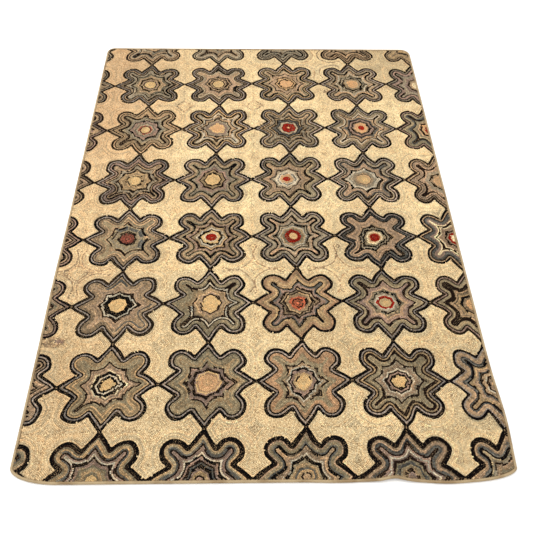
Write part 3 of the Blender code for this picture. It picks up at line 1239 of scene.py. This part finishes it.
@dataclass(frozen=True)
class WoolFinish:
    """Hooked wool: each loop's own dyed colour, painted shade and light, flecks, soil and a soft bloom of
    fibres.

    Args:
        fleck: size of the flecks in the cloth.
        fleck_strength: how much they change its brightness.
        soil_cloud: size of the clouds of soil.
        soil_strength: how much soil there is.
        fibre: size of the fibres that stand off the cloth.
        fuzz: how rough they make it.
    """

    fleck: float = 0.0016
    fleck_strength: float = 0.16
    soil_cloud: float = 0.30
    soil_strength: float = 0.22
    fibre: float = 0.0007
    fuzz: float = 0.5

    def material(self) -> bpy.types.Material:
        """Builds the material.

        Returns:
            The material.
        """
        material, nodes, shader, place = start_material("hooked_wool")
        # The loops' colour brings in the pads' painted shade at the feet and painted light at the crowns
        dyed = nodes.add("ShaderNodeAttribute", attribute_name=LOOP_COLOUR_AND_PAINTED_SHADE).outputs["Color"]
        heather = nodes.add("ShaderNodeGroup", node_tree=heather_group())
        soil = nodes.add("ShaderNodeGroup", node_tree=soil_group())
        for node, colour in ((heather, dyed), (soil, heather.outputs["Colour"])):
            nodes.tree.links.new(colour, node.inputs["Colour"])
            nodes.tree.links.new(place, node.inputs["Place"])
        heather.inputs["Fleck Size"].default_value = self.fleck
        heather.inputs["Strength"].default_value = self.fleck_strength
        soil.inputs["Cloud Size"].default_value = self.soil_cloud
        soil.inputs["Strength"].default_value = self.soil_strength
        nodes.tree.links.new(soil.outputs["Colour"], shader.inputs["Base Color"])
        fibres = nodes.add("ShaderNodeTexNoise", {"Vector": place, "Scale": 1.0 / self.fibre, "Detail": 2.0})
        bump = nodes.add("ShaderNodeBump", {"Height": fibres.outputs[0], "Strength": self.fuzz,
                                            "Distance": 0.0006})
        nodes.tree.links.new(bump.outputs[0], shader.inputs["Normal"])
        shader.inputs["Roughness"].default_value = 0.95
        shader.inputs["Specular IOR Level"].default_value = 0.04
        return material


@dataclass(frozen=True)
class BurlapFinish:
    """Burlap: an open plain weave of coarse jute, with painted shade on its top between the loops.

    Args:
        thread: spacing of its threads.
        jute: sRGB shade of the threads.
        gap: sRGB shade of the holes.
        packed: sRGB shade of the top: painted shade between the loops, with wool dust packed into it.
    """

    thread: float = 0.0021
    jute: Colour = (176, 144, 98)
    gap: Colour = (104, 80, 52)
    packed: Colour = (136, 112, 80)

    def material(self) -> bpy.types.Material:
        """Builds the material.

        Returns:
            The material.
        """
        material, nodes, shader, place = start_material("burlap")
        stray = nodes.add("ShaderNodeTexNoise", {"Vector": place, "Scale": 40.0, "Detail": 1.0})
        bent = nodes.add("ShaderNodeVectorMath", {0: stray.outputs["Color"], 1: (0.004, 0.004, 0.0)},
                         operation="MULTIPLY")
        where = nodes.add("ShaderNodeVectorMath", {0: place, 1: bent.outputs[0]}, operation="ADD")
        weave = nodes.add("ShaderNodeGroup", node_tree=weave_group())
        nodes.tree.links.new(where.outputs[0], weave.inputs["Place"])
        weave.inputs["Thread"].default_value = self.thread
        slubs = nodes.add("ShaderNodeTexNoise", {"Vector": place, "Scale": 260.0, "Detail": 3.0})
        light = nodes.spread(slubs.outputs[0], 0.3, 0.7, 0.0, 0.5)
        jute = nodes.mix(light, (*linear(self.jute), 1.0), (*linear(self.gap), 1.0))
        colour = nodes.mix(weave.outputs["Hole"], jute, (*linear(self.gap), 1.0))
        # Painted shade: the sheet's top, seen only in the gaps between the loops, takes the packed shade
        height = nodes.add("ShaderNodeSeparateXYZ", {0: place}).outputs[2]
        top = nodes.spread(height, GROUND_BED * 0.5, GROUND_BED * 0.9)
        whole = nodes.mix(top, colour, (*linear(self.packed), 1.0))
        nodes.tree.links.new(whole, shader.inputs["Base Color"])
        bump = nodes.add("ShaderNodeBump", {"Height": weave.outputs["Height"], "Strength": 0.8,
                                            "Distance": 0.0008})
        nodes.tree.links.new(bump.outputs[0], shader.inputs["Normal"])
        shader.inputs["Roughness"].default_value = 0.92
        return material


@dataclass(frozen=True)
class BindingFinish:
    """The binding: a tightly woven khaki cotton cloth, browner where feet have rubbed it.

    Args:
        thread: spacing of its threads.
        shade: sRGB shade of the cloth.
        worn: sRGB shade where it is worn.
    """

    thread: float = 0.0007
    shade: Colour = (164, 144, 112)
    worn: Colour = (134, 112, 82)

    def material(self) -> bpy.types.Material:
        """Builds the material. Its weave follows the cloth's own map, in metres along and round.

        Returns:
            The material.
        """
        material, nodes, shader, place = start_material("binding_cloth")
        cloth = nodes.add("ShaderNodeAttribute", attribute_name=CLOTH_MAP).outputs["Vector"]
        weave = nodes.add("ShaderNodeGroup", node_tree=weave_group())
        nodes.tree.links.new(cloth, weave.inputs["Place"])
        weave.inputs["Thread"].default_value = self.thread
        clouds = nodes.add("ShaderNodeTexNoise", {"Vector": place, "Scale": 14.0, "Detail": 5.0})
        wear = nodes.spread(clouds.outputs[0], 0.42, 0.68)
        cloth_colour = nodes.mix(wear, (*linear(self.shade), 1.0), (*linear(self.worn), 1.0))
        dark = nodes.mix(nodes.maths("MULTIPLY", weave.outputs["Hole"], 0.45), cloth_colour,
                         (*linear((84, 68, 48)), 1.0))
        heather = nodes.add("ShaderNodeGroup", {"Colour": dark, "Place": place}, node_tree=heather_group())
        return self.dress(material, nodes, shader, heather, weave)

    @staticmethod
    def dress(material: bpy.types.Material, nodes: Nodes, shader: bpy.types.Node,
              heather: bpy.types.Node, weave: bpy.types.Node) -> bpy.types.Material:
        """Joins colour and relief to the shader.

        Args:
            material: the material.
            nodes: its builder.
            shader: its Principled shader.
            heather: gives the colour.
            weave: gives the height.

        Returns:
            The material.
        """
        nodes.tree.links.new(heather.outputs["Colour"], shader.inputs["Base Color"])
        bump = nodes.add("ShaderNodeBump", {"Height": weave.outputs["Height"], "Strength": 0.5,
                                            "Distance": 0.0003})
        nodes.tree.links.new(bump.outputs[0], shader.inputs["Normal"])
        shader.inputs["Roughness"].default_value = 0.88
        shader.inputs["Specular IOR Level"].default_value = 0.2
        return material


@dataclass(frozen=True)
class ThreadFinish:
    """Waxed linen sewing thread, twisted, a little darker than the cloth that it holds.

    Args:
        shade: sRGB shade.
        twist: spacing of its turns.
    """

    shade: Colour = (150, 128, 96)
    twist: float = 0.0009

    def material(self) -> bpy.types.Material:
        """Builds the material.

        Returns:
            The material.
        """
        material, nodes, shader, place = start_material("sewing_thread")
        heather = nodes.add("ShaderNodeGroup", {"Colour": (*linear(self.shade), 1.0), "Place": place,
                                                "Strength": 0.3}, node_tree=heather_group())
        nodes.tree.links.new(heather.outputs["Colour"], shader.inputs["Base Color"])
        turns = nodes.add("ShaderNodeTexWave", {"Vector": place, "Scale": 0.314 / self.twist},
                          bands_direction="DIAGONAL")
        bump = nodes.add("ShaderNodeBump", {"Height": turns.outputs["Fac"], "Strength": 0.5,
                                            "Distance": 0.0003})
        nodes.tree.links.new(bump.outputs[0], shader.inputs["Normal"])
        shader.inputs["Roughness"].default_value = 0.7
        return material


def made_piece(name: str, points: Array, faces: Array, material: bpy.types.Material) -> bpy.types.Object:
    """Puts worked-out points and faces into an object.

    Args:
        name: the piece's name.
        points: one row of x, y and z for each point.
        faces: rows of point numbers, of three or four corners.
        material: its finish.

    Returns:
        The piece.
    """
    mesh = bpy.data.meshes.new(name)
    mesh.from_pydata(points, [], faces)
    mesh.materials.append(material)
    mesh.shade_smooth()
    piece = bpy.data.objects.new(name, mesh)
    bpy.context.scene.collection.objects.link(piece)
    return piece


def grid_faces(rows: int, columns: int, start: int = 0, closed: bool = False) -> Array:
    """Corner numbers of the four-sided faces of a grid of points, row after row.

    Args:
        rows: how many rows of points.
        columns: how many points in a row.
        start: number of the first point.
        closed: true to join the last row to the first.

    Returns:
        One row of four point numbers for each face.
    """
    row = np.arange(rows if closed else rows - 1)[:, None]
    column = np.arange(columns)[None, :]
    after = (row + 1) % rows
    beside = (column + 1) % columns
    corners = (row * columns + column, row * columns + beside, after * columns + beside,
               after * columns + column)
    return np.stack([start + corner for corner in corners], axis=-1).reshape(-1, 4)


def seal_map(piece: bpy.types.Object) -> None:
    """Gives a flat piece a map seen from above, each place at its own share of the piece's box.

    Args:
        piece: the piece.
    """
    mesh = piece.data
    points = np.empty(len(mesh.vertices) * 3, np.float32)
    mesh.vertices.foreach_get("co", points)
    flat = points.reshape(-1, 3)[:, :2]
    low, high = flat.min(axis=0), flat.max(axis=0)
    share = 0.002 + 0.996 * (flat - low) / (high - low)
    corner = np.empty(len(mesh.loops), np.int32)
    mesh.loops.foreach_get("vertex_index", corner)
    layer = mesh.uv_layers.new(name=BAKE_MAP)
    layer.uv.foreach_set("vector", share[corner].astype(np.float32).ravel())


@dataclass
class Pile:
    """The pile: every loop as a small arched pad, wider than it is high.

    A pad has four feet on the ground and two points at its crown, which lie across its row, so that
    the strip of wool runs up, over and down along the row.

    Args:
        foot: height of the feet.
        crown: height of the crown.
        crown_uneven: how far crowns differ.
        crown_wide: length of the crown as a share of the loop's width.
        fill: how much of its spacing a loop takes up.
        skew: how far a loop turns in its row, in radians.
        foot_painted_shade: painted shade: share of red, green and blue left at the feet, down between the
            loops.
        crown_painted_light: painted light: the same at the crown.
    """

    foot: float = 0.0047
    crown: float = PILE_TOP
    crown_uneven: float = 0.0012
    crown_wide: float = 0.62
    fill: float = 1.13
    skew: float = 0.10
    foot_painted_shade: Colour = (0.46, 0.38, 0.30)
    crown_painted_light: Colour = (1.05, 1.04, 1.03)

    def pads(self, loops: Loops, edge: RugEdge, draw: np.random.Generator) -> tuple[Array, Array, Array]:
        """Works out the points and faces of all pads at once.

        Args:
            loops: the loops.
            edge: gives the lie of the cloth.
            draw: random numbers.

        Returns:
            Points, faces and the loop that each point belongs to.
        """
        count = len(loops.place)
        turn = draw.normal(scale=self.skew, size=count)
        along = np.column_stack([
            loops.along[:, 0] * np.cos(turn) - loops.along[:, 1] * np.sin(turn),
            loops.along[:, 0] * np.sin(turn) + loops.along[:, 1] * np.cos(turn),
        ])
        across = np.column_stack([-along[:, 1], along[:, 0]])
        half_long = LOOP_LONG / 2.0 * self.fill
        half_wide = loops.wide / 2.0 * self.fill
        shares = np.array([(-1, -1), (1, -1), (1, 1), (-1, 1), (0, -self.crown_wide), (0, self.crown_wide)])
        flat = (loops.place[:, None, :]
                + along[:, None, :] * half_long * shares[None, :, :1]
                + across[:, None, :] * half_wide[:, None, None] * shares[None, :, 1:])
        height = np.full((count, 6), self.foot)
        height[:, 4:] = self.crown - self.crown_uneven * draw.uniform(size=(count, 1))
        height += edge.lift(loops.place[:, 0], loops.place[:, 1])[:, None]
        points = np.concatenate([flat, height[:, :, None]], axis=2).reshape(-1, 3)
        pad = np.array([(0, 1, 4), (1, 2, 5), (1, 5, 4), (2, 3, 5), (3, 0, 4), (3, 4, 5)])
        faces = (np.arange(count)[:, None, None] * 6 + pad[None]).reshape(-1, 3)
        return points, faces, np.repeat(np.arange(count), 6)

    def piece(self, star_row: int, loops: Loops, edge: RugEdge,
              finish: bpy.types.Material) -> bpy.types.Object:
        """Makes the hooked piece of one row of stars.

        Args:
            star_row: which row.
            loops: its loops.
            edge: gives the lie of the cloth.
            finish: the wool's finish.

        Returns:
            The piece.
        """
        draw = np.random.default_rng(SEED + star_row)
        points, faces, owner = self.pads(loops, edge, draw)
        piece = made_piece(f"star_row_{star_row}", points, faces, finish)
        colour = piece.data.color_attributes.new(LOOP_COLOUR_AND_PAINTED_SHADE, "FLOAT_COLOR", "POINT")
        # Painted shade at each pad's four feet and painted light at its two crown points, multiplied into the
        # loop's colour
        shade = np.tile([self.foot_painted_shade] * 4 + [self.crown_painted_light] * 2, (len(loops.place), 1))
        shaded = np.clip(loops.colour[owner] * shade, 0.0, 0.95)
        values = np.column_stack([shaded, np.ones(len(owner))]).astype(np.float32)
        colour.data.foreach_set("color", values.ravel())
        seal_map(piece)
        return piece


@dataclass
class Ground:
    """The burlap that the wool is pulled through, with the feet of the loops packed in it.

    It is a closed sheet: rings that shrink from the outline to the middle, over and under.

    Args:
        rings: how many rings there are from the edge to the middle.
        bunch: how far the rings bunch up towards the edge, where the cloth buckles.
        inset: how far its edge lies inside the rug's outline.
    """

    rings: int = 14
    bunch: float = 1.5
    inset: float = BINDING_WIDE + GAP

    def piece(self, edge: RugEdge, finish: bpy.types.Material) -> bpy.types.Object:
        """Makes the sheet.

        Args:
            edge: the rug's outline and lie.
            finish: the burlap's finish.

        Returns:
            The piece.
        """
        outline = edge.outline()[::3]
        rim = outline + edge.inward(outline) * self.inset
        share = 1.0 - np.linspace(0.0, 1.0, self.rings + 1)[:-1] ** self.bunch
        level = (rim[None, :, :] * share[:, None, None])
        sides = len(rim)
        levels = []
        for height in (GROUND_BED, 0.0):
            lift = edge.lift(level[..., 0], level[..., 1])
            levels.append(np.dstack([level, height + lift]).reshape(-1, 3))
        top = np.concatenate([levels[0], [[0.0, 0.0, GROUND_BED]]])
        bottom = np.concatenate([levels[1], [[0.0, 0.0, 0.0]]])
        points = np.concatenate([top, bottom])
        under = len(top)
        ring = grid_faces(self.rings, sides)
        last = (self.rings - 1) * sides + np.arange(sides)
        after = (self.rings - 1) * sides + (np.arange(sides) + 1) % sides
        cap = np.column_stack([last, after, np.full(sides, under - 1)])
        rim_now, rim_next = np.arange(sides), (np.arange(sides) + 1) % sides
        wall = np.column_stack([rim_now, under + rim_now, under + rim_next, rim_next])
        faces = [*ring.tolist(), *cap.tolist(), *(ring[:, ::-1] + under).tolist(),
                 *(cap[:, ::-1] + under).tolist(), *wall.tolist()]
        piece = made_piece("burlap_ground", points, faces, finish)
        piece.data.set_sharp_from_angle(angle=0.7)
        seal_map(piece)
        return piece


@dataclass
class Binding:
    """The edge binding: a strip of cloth rolled round the rug's edge, with its sewing.

    Args:
        roll: its section, as shares of its width in from the outer edge and of its height.
        pucker: how deep the cloth puckers between stitches.
        stitch_every: spacing of the stitches.
        stitch_long: length of a stitch.
        thread: thickness of the sewing thread.
    """

    roll: tuple = (
        (1.00, 0.00), (0.60, 0.00), (0.30, 0.00), (0.18, 0.06), (0.08, 0.14), (0.02, 0.28),
        (0.00, 0.42), (0.01, 0.57), (0.05, 0.72), (0.13, 0.85), (0.24, 0.94), (0.38, 0.985),
        (0.55, 1.00), (0.74, 0.985), (0.90, 0.94), (1.00, 0.86), (1.00, 0.60), (1.00, 0.30),
    )
    pucker: float = 0.0006
    stitch_every: float = 0.0085
    stitch_long: float = 0.0034
    thread: float = 0.0007

    def piece(self, edge: RugEdge, finish: bpy.types.Material) -> bpy.types.Object:
        """Makes the rolled strip: its section carried round the outline, puckered by the sewing.

        Args:
            edge: the rug's outline and lie.
            finish: the cloth's finish.

        Returns:
            The piece.
        """
        outline = edge.outline()
        inward = edge.inward(outline)
        steps = np.linalg.norm(np.roll(outline, -1, axis=0) - outline, axis=1)
        run = np.concatenate([[0.0], np.cumsum(steps)[:-1]])
        into, up = np.array(self.roll).T
        over = np.clip(up - 0.25, 0.0, 1.0) * (into < 0.999)
        wave = ripple(run, run * 0.0, 0.026, SEED + 11) + 0.6 * ripple(run, run * 0.0, 0.009, SEED + 12)
        pucker = self.pucker * wave[:, None] * over[None, :]
        in_from_edge = BINDING_WIDE * into[None, :] + np.maximum(pucker, 0.0)
        flat = outline[:, None, :] + inward[:, None, :] * in_from_edge[:, :, None]
        height = BINDING_THICK * up[None, :] + pucker * 0.6
        height = height + edge.lift(flat[..., 0], flat[..., 1])
        points = np.dstack([flat, height]).reshape(-1, 3)
        faces = grid_faces(len(outline), len(into), closed=True)
        piece = made_piece("edge_binding_cloth", points, faces, finish)
        self.map_cloth(piece, run, into, up)
        return piece

    def sewing(self, edge: RugEdge, finish: bpy.types.Material) -> bpy.types.Object:
        """Makes the slanting stitches that hold the strip's inner edge down, as small blocks of thread.

        Args:
            edge: the rug's outline and lie.
            finish: the thread's finish.

        Returns:
            The piece.
        """
        outline = edge.outline()
        inward = edge.inward(outline)
        steps = np.linalg.norm(np.roll(outline, -1, axis=0) - outline, axis=1)
        run = np.concatenate([[0.0], np.cumsum(steps)])
        count = int(run[-1] / self.stitch_every)
        at = (np.arange(count) + 0.5) * run[-1] / count
        draw = np.random.default_rng(SEED + 13)
        index = np.searchsorted(run, at + draw.normal(scale=0.0008, size=count), side="right") - 1
        index = np.clip(index, 0, len(outline) - 1)
        along = np.column_stack([inward[index, 1], -inward[index, 0]])
        slant = 0.8 + draw.normal(scale=0.12, size=count)
        way = np.cos(slant)[:, None] * along + np.sin(slant)[:, None] * inward[index]
        side = np.column_stack([-way[:, 1], way[:, 0]])
        middle = outline[index] + inward[index] * BINDING_WIDE * 0.86
        corners = np.array([(-1, -1), (1, -1), (1, 1), (-1, 1)]) / 2.0
        flat = (middle[:, None, :] + way[:, None, :] * corners[None, :, :1] * self.stitch_long
                + side[:, None, :] * corners[None, :, 1:] * self.thread)
        top = BINDING_THICK * 0.955 + 0.6 * self.thread + edge.lift(middle[:, 0], middle[:, 1])
        layers = [np.dstack([flat, np.broadcast_to((top - drop)[:, None], (count, 4))])
                  for drop in (0.0, 2.0 * self.thread)]
        points = np.concatenate(layers, axis=1).reshape(-1, 3)
        block = np.array([(0, 1, 2, 3), (7, 6, 5, 4), (0, 4, 5, 1), (1, 5, 6, 2), (2, 6, 7, 3), (3, 7, 4, 0)])
        faces = (np.arange(count)[:, None, None] * 8 + block[None]).reshape(-1, 4)
        return made_piece("binding_stitches", points, faces, finish)

    @staticmethod
    def map_cloth(piece: bpy.types.Object, run: Array, into: Array, up: Array) -> None:
        """Gives each point its place on the flat cloth: metres along the strip and round it.

        Args:
            piece: the strip.
            run: length so far along the outline.
            into: the section's points, in from the edge.
            up: the same, up.
        """
        bends = np.hypot(np.diff(into) * BINDING_WIDE, np.diff(up) * BINDING_THICK)
        round_it = np.concatenate([[0.0], np.cumsum(bends)])
        values = np.stack(np.broadcast_arrays(run[:, None], round_it[None, :], 0.0), axis=-1)
        layer = piece.data.attributes.new(CLOTH_MAP, "FLOAT_VECTOR", "POINT")
        layer.data.foreach_set("vector", values.astype(np.float32).ravel())


@dataclass(frozen=True)
class Studio:
    """A pale floor, soft light and the camera of the photo's view.

    Args:
        camera_at: where the camera stands.
        camera_turn: its turn about X, Y and Z in degrees.
        focal: its focal length as a share of the picture's width.
        floor_wide: width of the floor.
        floor_shade: linear grey of the floor.
        key_power: power of the large light overhead, in watts.
        sky: strength of the even light all round.
    """

    camera_at: tuple = (-0.0417, -2.2282, 2.3494)
    camera_turn: tuple = (38.808, -0.647, -1.027)
    focal: float = 677.4 / 533.0
    floor_wide: float = 14.0
    floor_shade: float = 0.86
    key_power: float = 80.0
    sky: float = 1.26

    def floor(self) -> None:
        """Lays the floor just under the rug."""
        half = self.floor_wide / 2.0
        points = [(-half, -half, -0.0002), (half, -half, -0.0002), (half, half, -0.0002),
                  (-half, half, -0.0002)]
        material, nodes, shader, place = start_material("pale_floor")
        cloud = nodes.add("ShaderNodeTexNoise", {"Vector": place, "Scale": 0.8, "Detail": 2.0})
        level = nodes.spread(cloud.outputs[0], 0.3, 0.7, self.floor_shade - 0.01, self.floor_shade + 0.01)
        grey = nodes.add("ShaderNodeCombineXYZ", {0: level, 1: level, 2: level}).outputs[0]
        nodes.tree.links.new(grey, shader.inputs["Base Color"])
        shader.inputs["Roughness"].default_value = 0.9
        made_piece("floor", points, [(0, 1, 2, 3)], material)

    def lamp(self, name: str, place: tuple, power: float, size: float) -> None:
        """Hangs one square soft light that faces the rug's middle.

        Args:
            name: its name.
            place: where it hangs.
            power: in watts.
            size: its side.
        """
        data = bpy.data.lights.new(name, "AREA")
        data.energy = power
        data.size = size
        lamp = bpy.data.objects.new(name, data)
        x, y, z = place
        lamp.location = place
        lamp.rotation_euler = (np.arctan2(np.hypot(x, y), z), 0.0, np.arctan2(x, -y))
        bpy.context.scene.collection.objects.link(lamp)

    def light(self) -> None:
        """Sets even light all round and one soft lamp."""
        world = bpy.data.worlds.new("studio")
        world.use_nodes = True
        background = world.node_tree.nodes["Background"]
        background.inputs["Color"].default_value = (1.0, 0.99, 0.97, 1.0)
        background.inputs["Strength"].default_value = self.sky
        bpy.context.scene.world = world
        self.lamp("overhead", (-0.9, 1.0, 3.2), self.key_power, 2.4)
        bpy.context.scene.view_settings.view_transform = "Standard"

    def camera(self) -> None:
        """Stands the camera where the photo was taken from."""
        data = bpy.data.cameras.new("camera")
        data.sensor_width = 36.0
        data.lens = self.focal * data.sensor_width
        camera = bpy.data.objects.new("camera", data)
        camera.location = self.camera_at
        camera.rotation_euler = tuple(np.radians(self.camera_turn))
        bpy.context.scene.collection.objects.link(camera)
        bpy.context.scene.camera = camera


def main() -> None:
    """Builds the rug's pieces in order, then the studio round it."""
    logging.basicConfig(level=logging.INFO, format="%(name)s: %(message)s")
    edge = RugEdge()
    wool = WoolFinish().material()
    loops = Hooking().hook(edge)
    LOG.info("%d loops hooked", len(loops.place))
    pile = Pile()
    pieces = []
    for star_row in STAR_ROWS:
        piece = pile.piece(star_row, loops.only(loops.star_row == star_row), edge, wool)
        pieces.append(piece)
    ground = Ground().piece(edge, BurlapFinish().material())
    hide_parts("hooked_panel")
    binding = Binding().piece(edge, BindingFinish().material())
    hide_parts("edge_binding")
    sewing = Binding().sewing(edge, ThreadFinish().material())
    pieces += [binding, sewing]
    for piece in [ground, *pieces]:
        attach(piece, "root")
    for piece in [ground, *pieces]:
        LOG.info("%s: %d triangles", piece.name, sum(len(face.vertices) - 2 for face in piece.data.polygons))
    studio = Studio()
    studio.floor()
    studio.light()
    studio.camera()
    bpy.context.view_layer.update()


if __name__ == "__main__":
    main()
